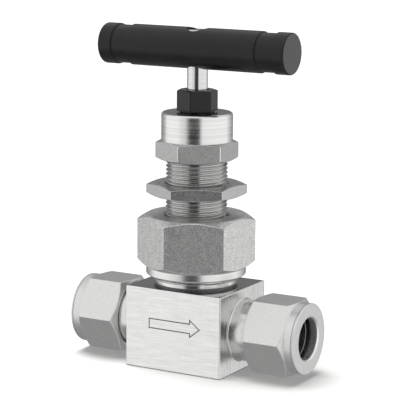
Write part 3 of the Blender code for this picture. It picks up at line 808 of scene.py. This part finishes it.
def make_union_nut():
    side = hexagon(UNION_FLATS, UNION_TURN)
    waist = UNION_BOTTOM + UNION_COLLAR_HEIGHT
    hole = BARREL_RADIUS + GAP
    roof = UNION_TOP - UNION_ROOF_THICKNESS
    rows = [
        Row(NECK_RADIUS + 0.3 * MM, UNION_BOTTOM, 0.1 * MM),
        Row(UNION_COLLAR - 0.3 * MM, UNION_BOTTOM, 0.1 * MM),
        Row(UNION_COLLAR, UNION_BOTTOM + 0.3 * MM, 0.15 * MM),
        Row(UNION_COLLAR, waist - 0.2 * MM, 0.1 * MM),
        Row(UNION_COLLAR - 0.2 * MM, waist - 0.1 * MM, 0.05 * MM),
        Row(UNION_FLATS / 2 - 0.2 * MM, waist, 0.05 * MM),
        Row(side, meets(side, UNION_FLATS / 2 - 0.2 * MM, waist, CHAMFER), 0.2 * MM),
        Row(side, meets(side, UNION_FACE, UNION_TOP, -CHAMFER), 0.22 * MM),
        Row(UNION_FACE, UNION_TOP, 0.2 * MM),
        Row(hole + 0.5 * MM, UNION_TOP, 0.1 * MM),
        Row(hole, UNION_TOP - 0.5 * MM, 0.1 * MM),
        Row(hole, roof, 0.1 * MM),
        Row(NECK_RADIUS + THREAD_CLEARANCE, roof, 0.3 * MM),
    ]
    rows += reversed(thread_rows(UNION_BOTTOM + 0.5 * MM, roof - 0.6 * MM, NECK_RADIUS, NECK_PITCH, True))
    angles = hexagon_angles(UNION_FLATS, UNION_TURN)
    nut = piece("union_nut", rows, angles, "valve", "union")
    repaint(nut, "collar", lambda face: face.center.z < waist - 0.05 * MM)


def make_bonnet():
    rows = [
        Row(BONNET_CHAMBER, BONNET_BOTTOM, 0.1 * MM),
        Row(SPIGOT_RADIUS, BONNET_BOTTOM, 0.3 * MM),
        Row(SPIGOT_RADIUS, NECK_TOP + GAP, 0.1 * MM),
        Row(FLANGE_RADIUS, NECK_TOP + GAP, 0.3 * MM),
        Row(FLANGE_RADIUS, FLANGE_TOP, 0.5 * MM),
        Row(BARREL_RADIUS - 0.9 * MM, FLANGE_TOP, 0.2 * MM),
    ]
    rows += thread_rows(FLANGE_TOP + 0.6 * MM, BONNET_TOP - 0.05 * MM, BARREL_RADIUS, BARREL_PITCH)
    rows += [
        Row(BARREL_RADIUS - 1.0 * MM, BONNET_TOP, 0.1 * MM),
        Row(PACKING_BORE + 0.3 * MM, BONNET_TOP, 0.1 * MM),
        Row(PACKING_BORE, BONNET_TOP - 0.6 * MM, 0.1 * MM),
        Row(PACKING_BORE, PACKING_FLOOR, 0.2 * MM),
        Row(STEM_HOLE, PACKING_FLOOR, 0.1 * MM),
        Row(STEM_HOLE, PACKING_FLOOR - 1.4 * MM, 0.1 * MM),
        Row(BONNET_CHAMBER, PACKING_FLOOR - 2.6 * MM, 0.2 * MM),
    ]
    piece("bonnet", rows, round_angles(), "valve", "turned")


def make_cap():
    side = hexagon(CAP_FLATS, CAP_TURN)
    foot = CAP_FLATS / 2 - 0.15 * MM
    hole = BOLT_SHANK + 0.15 * MM
    rows = [
        Row(BARREL_RADIUS + 0.6 * MM, CAP_BOTTOM, 0.08 * MM),
        Row(foot, CAP_BOTTOM, 0.1 * MM),
        Row(side, meets(side, foot, CAP_BOTTOM, CAP_CHAMFER), 0.18 * MM),
        Row(side, meets(side, CROWN_RADIUS, CAP_HEX_TOP, -CAP_CHAMFER), 0.18 * MM),
        Row(CROWN_RADIUS, CAP_HEX_TOP, 0.12 * MM),
        Row(CROWN_RADIUS, CAP_TOP, CAP_LIP),
        Row(hole + 0.4 * MM, CAP_TOP, 0.1 * MM),
        Row(hole, CAP_TOP - 0.4 * MM, 0.1 * MM),
        Row(hole, CAP_ROOF, 0.1 * MM),
        Row(BARREL_RADIUS + THREAD_CLEARANCE, CAP_ROOF, 0.3 * MM),
    ]
    thread = thread_rows(CAP_BOTTOM + 0.4 * MM, CAP_ROOF - 0.2 * MM, BARREL_RADIUS, BARREL_PITCH, True)
    rows += reversed(thread)
    angles = hexagon_angles(CAP_FLATS, CAP_TURN)
    cap = piece("bonnet_cap", rows, angles, "valve", "polished")
    # Painted highlight, partly worn edges: the hexagon's rounded corners, beyond this radius, go back to the
    # lighter polished steel for bright lines down the edges.
    edge = 0.9 * CAP_FLATS / math.sqrt(3) + 0.1 * CAP_FLATS / 2
    repaint(cap, "cap_hex", lambda face: face.center.z < CAP_HEX_TOP + 0.05 * MM)
    repaint(cap, "polished", lambda face: away(face) > edge)
    # the cap's flat top gets the dark painted shade
    repaint(cap, "cap_top_painted_shade", lambda face: face.normal.z > 0.95 and face.center.z > CAP_TOP - 0.05 * MM)


def make_packing_bolt():
    side = hexagon(BOLT_FLATS, BOLT_TURN)
    face = BOLT_FLATS / 2 - 0.35 * MM
    base = CAP_TOP + GAP
    rows = [Row(STEM_RADIUS + 0.4 * MM, BOLT_TIP), Row(BOLT_SHANK - 0.8 * MM, BOLT_TIP, 0.1 * MM)]
    rows += thread_rows(BOLT_TIP + 0.1 * MM, CAP_ROOF, BOLT_SHANK, STEM_PITCH)
    rows += [
        Row(BOLT_SHANK, CAP_ROOF + 0.8 * MM, 0.1 * MM),
        Row(BOLT_SHANK, base, 0.05 * MM),
        Row(side, base, 0.15 * MM),
        Row(side, meets(side, face, BOLT_TOP, -0.6 * CHAMFER), 0.14 * MM),
        Row(face, BOLT_TOP, 0.14 * MM),
        Row(STEM_RADIUS + 0.7 * MM, BOLT_TOP, 0.08 * MM),
    ]
    thread = thread_rows(BOLT_THREAD_BOTTOM, BOLT_TOP - 0.4 * MM, STEM_RADIUS, STEM_PITCH, True)
    rows += reversed(thread)
    rows += [Row(STEM_RADIUS + 0.2 * MM, BOLT_THREAD_BOTTOM - 0.3 * MM)]
    piece("packing_bolt", rows, hexagon_angles(BOLT_FLATS, BOLT_TURN), "valve", "bolt")


def make_panel_nut():
    side = hexagon(PANEL_FLATS, PANEL_TURN)
    hole = BARREL_RADIUS + 0.1 * MM
    rows = [
        Row(hole + 0.5 * MM, PANEL_BOTTOM, 0.05 * MM),
        Row(PANEL_FACE, PANEL_BOTTOM, 0.1 * MM),
        Row(side, meets(side, PANEL_FACE, PANEL_BOTTOM, CHAMFER * 0.45), 0.15 * MM),
        Row(side, meets(side, PANEL_FACE, PANEL_TOP, -CHAMFER * 0.45), 0.15 * MM),
        Row(PANEL_FACE, PANEL_TOP, 0.1 * MM),
        Row(hole + 0.5 * MM, PANEL_TOP, 0.05 * MM),
        Row(hole, PANEL_TOP - 0.5 * MM, 0.1 * MM),
        Row(hole, PANEL_BOTTOM + 0.5 * MM, 0.1 * MM),
    ]
    piece("panel_nut", rows, hexagon_angles(PANEL_FLATS, PANEL_TURN), "panel_nut", "panel")


def make_packing():
    """The stack in the bonnet: plain supports, crowned rings and the gland."""
    bulge = 0.35 * MM
    slots = {"packing_gland": "polished_steel"}
    for number in range(1, 4):
        slots["packing_ring_" + str(number)] = "packing"
    for name in ("lower_packing_support", "upper_packing_support"):
        slots[name] = "polished_steel"
    for name, slot in slots.items():
        low, high = (corner.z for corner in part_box(name))
        soft = bulge if slot == "packing" else 0.15 * MM
        rows = [
            Row(PACKING_INNER, low, soft),
            Row(PACKING_OUTER, low, soft),
            Row(PACKING_OUTER, high, soft),
            Row(PACKING_INNER, high, soft),
        ]
        material = "packing" if slot == "packing" else "polished"
        piece(name, rows, round_angles(), "valve", material)


# ---------------------------------------------------------------- stem and handle


def make_upper_stem():
    rows = [
        Row(CUP_LIP, CUP_BOTTOM, 0.1 * MM),
        Row(CUP_RADIUS, CUP_BOTTOM, 0.4 * MM),
        Row(CUP_RADIUS, CUP_BOTTOM + 4.6 * MM, 0.3 * MM),
        Row(STEM_RADIUS - 0.02 * MM, CUP_BOTTOM + 5.9 * MM, 0.4 * MM),
        Row(STEM_RADIUS - 0.02 * MM, STEM_THREAD_BOTTOM - 0.8 * MM, 0.2 * MM),
    ]
    rows += thread_rows(STEM_THREAD_BOTTOM, STEM_THREAD_TOP, STEM_RADIUS, STEM_PITCH)
    rows += [
        Row(STEM_RADIUS, STEM_THREAD_TOP + 0.8 * MM, 0.1 * MM),
        Row(STEM_RADIUS, STEM_TOP, 0.5 * MM),
        Row(0, STEM_TOP),
        Row(0, CUP_BOTTOM + 3.7 * MM),
        Row(CUP_CAVITY, CUP_BOTTOM + 3.7 * MM, 0.4 * MM),
        Row(CUP_CAVITY, CUP_BOTTOM + 1.2 * MM, 0.2 * MM),
        Row(CUP_LIP, CUP_BOTTOM + 1.2 * MM, 0.1 * MM),
    ]
    piece("upper_stem", rows, round_angles(), "handle", "stem")


def make_lower_stem():
    guide = 5.4 * MM
    shaft = 3.9 * MM
    button = 3.8 * MM
    throat = 2.5 * MM
    rows = [
        Row(0, NEEDLE_TIP),
        Row(1.5 * MM, NEEDLE_TIP, 0.3 * MM),
        Row(shaft, NEEDLE_TIP + 6.0 * MM, 0.5 * MM),
        Row(shaft, NEEDLE_TIP + 19.3 * MM, 0.3 * MM),
        Row(guide, NEEDLE_TIP + 19.9 * MM, 0.2 * MM),
        Row(guide, CUP_BOTTOM - GAP, 0.3 * MM),
        Row(throat, CUP_BOTTOM - GAP, 0.2 * MM),
        Row(throat, BUTTON_TOP - 1.9 * MM, 0.1 * MM),
        Row(button, BUTTON_TOP - 1.9 * MM, 0.2 * MM),
        Row(button, BUTTON_TOP, 0.4 * MM),
        Row(0, BUTTON_TOP),
    ]
    piece("lower_stem", rows, round_angles(), "needle", "polished")


def make_handle():
    """The bar: turned along its own axis, drilled and countersunk for the stem, and tapped at the back."""
    half = HANDLE_LENGTH / 2
    band = BAR_RADIUS - 0.4 * MM
    end = [
        Row(BAR_RADIUS, BAND_START, 0.07 * MM),
        Row(band, BAND_START + 0.1 * MM, 0.08 * MM),
        Row(band, BAND_END - 0.1 * MM, 0.08 * MM),
        Row(BAR_RADIUS, BAND_END, 0.07 * MM),
        Row(BAR_RADIUS, half, 0.5 * MM),
        Row(0, half),
    ]
    start = [Row(row.radius, -row.height, row.soft) for row in reversed(end)]
    bm = loft(start + end, round_angles(FINE_COLUMNS))
    bar = mesh_object("handle_bar_detailed", bm, ["bar"], (0, 0, HANDLE_HEIGHT), OUTWARD_X)
    hole = STEM_RADIUS + 0.15 * MM
    low = HANDLE_HEIGHT - BAR_RADIUS
    high = HANDLE_HEIGHT + BAR_RADIUS
    through = [
        Row(0, low - MM),
        Row(hole + 1.25 * MM, low - MM),
        Row(hole, low + 0.25 * MM, 0.1 * MM),
        Row(hole, high - (COUNTERSINK - hole), 0.1 * MM),
        Row(COUNTERSINK + MM, high + MM),
        Row(0, high + MM),
    ]
    carve(bar, "DIFFERENCE", loft(through, round_angles()))
    tapping = SCREW_RADIUS + 0.15 * MM
    outside = BAR_RADIUS + 0.75 * MM
    tapped = [Row(0, 0), Row(tapping, 0), Row(tapping, BAR_RADIUS - 0.3 * MM)]
    tapped += [Row(SCREW_RADIUS + 1.2 * MM, outside), Row(0, outside)]
    cutter = loft(tapped, round_angles(HOLE_COLUMNS))
    carve(bar, "DIFFERENCE", laid(cutter, OUTWARD_Y, (0, 0, HANDLE_HEIGHT)))
    # the end faces get the lighter painted reflection
    repaint(bar, "bar_end_painted_reflection", lambda face: abs(face.normal.z) > 0.95 and abs(face.center.z) > half - 0.1 * MM)
    settle(bar, "handle_bar", "handle")


def make_set_screw():
    low, high = (corner.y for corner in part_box("handle_set_screw"))
    socket = hexagon(SCREW_SOCKET)
    rows = [Row(0, low + 0.5 * MM), Row(1.0 * MM, low, 0.1 * MM)]
    rows += thread_rows(low + 0.05 * MM, high - 0.05 * MM, SCREW_RADIUS, SCREW_PITCH)
    rows += [
        Row(1.45 * MM, high, 0.08 * MM),
        Row(socket, high, 0.05 * MM),
        Row(socket, high - 1.5 * MM),
        Row(0, high - 1.7 * MM),
    ]
    angles = hexagon_angles(SCREW_SOCKET)
    place = (0, 0, HANDLE_HEIGHT)
    piece("handle_set_screw", rows, angles, "handle", "screw", place, OUTWARD_Y)


# ---------------------------------------------------------------- tube fittings


def make_tube_nut(side_name, rotation):
    side = hexagon(NUT_FLATS, NUT_TURN)
    groove = NUT_COLLAR_RADIUS - 0.3 * MM
    rows = [
        Row(FITTING_THREAD + 0.5 * MM, NUT_INNER_FACE, 0.1 * MM),
        Row(NUT_INNER_RADIUS, NUT_INNER_FACE, 0.42 * MM),
        Row(side, meets(side, NUT_INNER_RADIUS, NUT_INNER_FACE, CHAMFER), 0.28 * MM),
        Row(side, meets(side, NUT_COLLAR_RADIUS, NUT_SHOULDER, -CHAMFER), 0.2 * MM),
        Row(NUT_COLLAR_RADIUS, NUT_SHOULDER, 0.15 * MM),
        Row(NUT_COLLAR_RADIUS, NUT_COLLAR - 0.26 * MM, 0.03 * MM),
        Row(groove, NUT_COLLAR - 0.2 * MM, 0.03 * MM),
        Row(groove, NUT_COLLAR - 0.06 * MM, 0.03 * MM),
        Row(NUT_COLLAR_RADIUS - 0.03 * MM, NUT_COLLAR, 0.03 * MM),
        Row(NUT_COLLAR_RADIUS - 0.03 * MM, NUT_FACE, 0.58 * MM),
        Row(TUBE_BORE + 0.45 * MM, NUT_FACE, 0.15 * MM),
        Row(TUBE_BORE, NUT_FACE - 0.45 * MM, 0.15 * MM),
        Row(TUBE_BORE, FERRULE_BACK + 1.6 * MM, 0.1 * MM),
        Row(NUT_SEAT, FERRULE_BACK + 0.3 * MM, 0.1 * MM),
        Row(NUT_SEAT, NUT_CAVITY + 0.9 * MM, 0.1 * MM),
    ]
    relief = FITTING_THREAD + 0.2 * MM
    thread = thread_rows(NUT_INNER_FACE + NUT_COUNTERBORE, NUT_CAVITY, FITTING_THREAD, FITTING_PITCH, True)
    rows += reversed(thread)
    rows += [Row(relief, NUT_INNER_FACE + NUT_COUNTERBORE), Row(relief, NUT_INNER_FACE + 0.3 * MM)]
    angles = hexagon_angles(NUT_FLATS, NUT_TURN)
    name = side_name + "_nut"
    nut = piece(name, rows, angles, name, "hex", (0, 0, PORT_HEIGHT), rotation)
    bore = TUBE_BORE + 0.05 * MM
    chamfer = TUBE_BORE + 0.42 * MM
    hole = FITTING_THREAD + 0.3 * MM
    inner = NUT_INNER_FACE + 0.1 * MM
    repaint(nut, "bore", lambda face: away(face) < bore)
    # painted highlight, partly a machined finish: the bore's chamfer and the inner face's rim get the lighter
    # greys
    repaint(nut, "machined_rim_and_highlight", lambda face: bore < away(face) < chamfer)
    repaint(nut, "machined_rim_and_highlight", lambda face: away(face) > hole and face.center.z < inner)


def make_ferrules(side_name, rotation):
    place = (0, 0, PORT_HEIGHT)
    slope = math.tan(MOUTH_ANGLE)
    mouth = MOUTH_RADIUS - 0.42 * MM
    flange = 8.3 * MM
    nose = FERRULE_BACK - 8.6 * MM
    front = [
        Row(FERRULE_BORE, nose, 0.08 * MM),
        Row(mouth - (FITTING_END - nose) * slope, nose, 0.15 * MM),
        Row(mouth + 1.7 * MM * slope, FITTING_END + 1.7 * MM, 0.1 * MM),
        Row(flange, FITTING_END + 1.7 * MM, 0.25 * MM),
        Row(flange, FERRULE_BACK - 1.7 * MM, 0.2 * MM),
        Row(FERRULE_BORE + 1.5 * MM, FERRULE_BACK - 1.7 * MM, 0.1 * MM),
        Row(FERRULE_BORE, FERRULE_BACK - 2.8 * MM, 0.08 * MM),
    ]
    back = [
        Row(FERRULE_BORE, FERRULE_BACK - 2.5 * MM),
        Row(FERRULE_BORE + 0.3 * MM, FERRULE_BACK - 2.5 * MM, 0.08 * MM),
        Row(flange - 0.3 * MM, FERRULE_BACK - 1.4 * MM, 0.1 * MM),
        Row(flange, FERRULE_BACK - 1.4 * MM, 0.1 * MM),
        Row(flange, FERRULE_BACK, 0.25 * MM),
        Row(FERRULE_BORE, FERRULE_BACK, 0.15 * MM),
    ]
    for name, rows in (("_front_ferrule", front), ("_back_ferrule", back)):
        node = side_name + name
        body = side_name + "_ferrules"
        piece(node, rows, round_angles(), body, "ferrule", place, rotation)


# ---------------------------------------------------------------- studio


def make_floor():
    """A wide plain floor, pale and matt, that leaves the object's reflections to the studio's light."""
    bm = bmesh.new()
    bmesh.ops.create_grid(bm, x_segments=8, y_segments=8, size=FLOOR_SIZE)
    floor = mesh_object("floor", bm, ["floor"])
    floor.location = (0, 0, -0.02 * MM)
    floor.visible_glossy = False


def make_world():
    """Soft studio surroundings: pale panels left and right of the camera, and darker gaps between them."""
    world = bpy.data.worlds.new("studio")
    bpy.context.scene.world = world
    world.use_nodes = True
    world.cycles.sampling_method = "NONE"
    tree = world.node_tree
    tree.nodes.clear()
    link = tree.links.new

    def node(kind, **settings):
        made = tree.nodes.new(kind)
        for key, value in settings.items():
            setattr(made, key, value)
        return made

    def compute(operation, *values):
        made = node("ShaderNodeMath", operation=operation)
        for socket, value in zip(made.inputs, values):
            if isinstance(value, bpy.types.NodeSocket):
                link(value, socket)
            else:
                socket.default_value = value
        return made.outputs[0]

    def ramp(value, stops):
        made = node("ShaderNodeValToRGB")
        made.color_ramp.interpolation = "EASE"
        elements = made.color_ramp.elements
        elements[0].position = stops[0][0]
        elements[0].color = (stops[0][1],) * 3 + (1.0,)
        elements[1].position = stops[-1][0]
        elements[1].color = (stops[-1][1],) * 3 + (1.0,)
        for position, level in stops[1:-1]:
            elements.new(position).color = (level,) * 3 + (1.0,)
        link(value, made.inputs[0])
        return made.outputs[0]

    def levels(share, stops, span):
        """Light levels along an angle, given as a share of its span, from stops in degrees."""
        return ramp(compute("ADD", share, 0.5), [(0.5 + degrees / span, level) for degrees, level in stops])

    direction = node("ShaderNodeTexCoord").outputs["Generated"]
    split = node("ShaderNodeSeparateXYZ")
    link(direction, split.inputs[0])
    x, y, z = split.outputs
    bearing = compute("SUBTRACT", compute("ARCTAN2", x, compute("MULTIPLY", y, -1.0)), CAMERA_AZIMUTH)
    share = compute("DIVIDE", compute("WRAP", bearing, math.pi, -math.pi), math.tau)
    around = levels(share, PANELS, 360)
    height = compute("DIVIDE", compute("ARCSINE", z), math.pi)
    overhead = levels(height, OVERHEAD_SHARE, 180)
    underneath = levels(height, UNDER_SHARE, 180)
    over_level = levels(share, OVERHEAD, 360)

    def mixed(share, low, high):
        made = node("ShaderNodeMix", data_type="RGBA")
        link(share, made.inputs[0])
        for socket, value in ((made.inputs[6], low), (made.inputs[7], high)):
            if isinstance(value, bpy.types.NodeSocket):
                link(value, socket)
            else:
                socket.default_value = (value, value, value, 1.0)
        return made.outputs[2]

    seen = mixed(overhead, around, over_level)
    under_level = levels(share, UNDER, 360)
    seen = mixed(underneath, seen, under_level)
    path = node("ShaderNodeLightPath")
    seen = mixed(path.outputs["Is Diffuse Ray"], seen, DIFFUSE_LEVEL)
    seen = mixed(path.outputs["Is Camera Ray"], seen, BACKGROUND_LEVEL)
    background = node("ShaderNodeBackground")
    link(seen, background.inputs["Color"])
    output = node("ShaderNodeOutputWorld")
    link(background.outputs[0], output.inputs["Surface"])


def make_lights():
    """One broad soft light from overhead, for the compact shadow on the floor."""
    data = bpy.data.lights.new("overhead_light", "SUN")
    data.energy = OVERHEAD_ENERGY
    data.angle = OVERHEAD_SPREAD
    light = bpy.data.objects.new("overhead_light", data)
    light.rotation_euler = OVERHEAD_DIRECTION.to_track_quat("-Z", "Y").to_euler()
    light.visible_glossy = False
    bpy.context.scene.collection.objects.link(light)


def make_camera():
    back = Vector((math.sin(CAMERA_AZIMUTH) * math.cos(CAMERA_HEIGHT), 0, math.sin(CAMERA_HEIGHT)))
    back.y = -math.cos(CAMERA_AZIMUTH) * math.cos(CAMERA_HEIGHT)
    level = Vector((math.cos(CAMERA_AZIMUTH), math.sin(CAMERA_AZIMUTH), 0))
    upright = back.cross(level)
    right = level * math.cos(CAMERA_ROLL) + upright * math.sin(CAMERA_ROLL)
    up = back.cross(right)
    data = bpy.data.cameras.new("camera")
    data.lens = CAMERA_LENS
    data.sensor_width = CAMERA_SENSOR
    data.clip_end = 100.0
    camera = bpy.data.objects.new("camera", data)
    rotation = Matrix((right, up, back)).transposed().to_4x4()
    camera.matrix_world = Matrix.Translation(CAMERA_TARGET + back * CAMERA_DISTANCE) @ rotation
    bpy.context.scene.collection.objects.link(camera)
    bpy.context.scene.camera = camera


def main():
    make_valve_body()
    make_union_nut()
    make_bonnet()
    make_cap()
    make_packing_bolt()
    make_panel_nut()
    make_packing()
    make_upper_stem()
    make_lower_stem()
    make_handle()
    make_set_screw()
    for side_name, rotation in (("inlet", OUTWARD_MINUS_X), ("outlet", OUTWARD_X)):
        make_tube_nut(side_name, rotation)
        make_ferrules(side_name, rotation)
    make_floor()
    make_world()
    make_lights()
    make_camera()
    bpy.context.scene.view_settings.view_transform = "Standard"
    bpy.context.scene.view_settings.look = "None"


main()
bpy.context.view_layer.update()
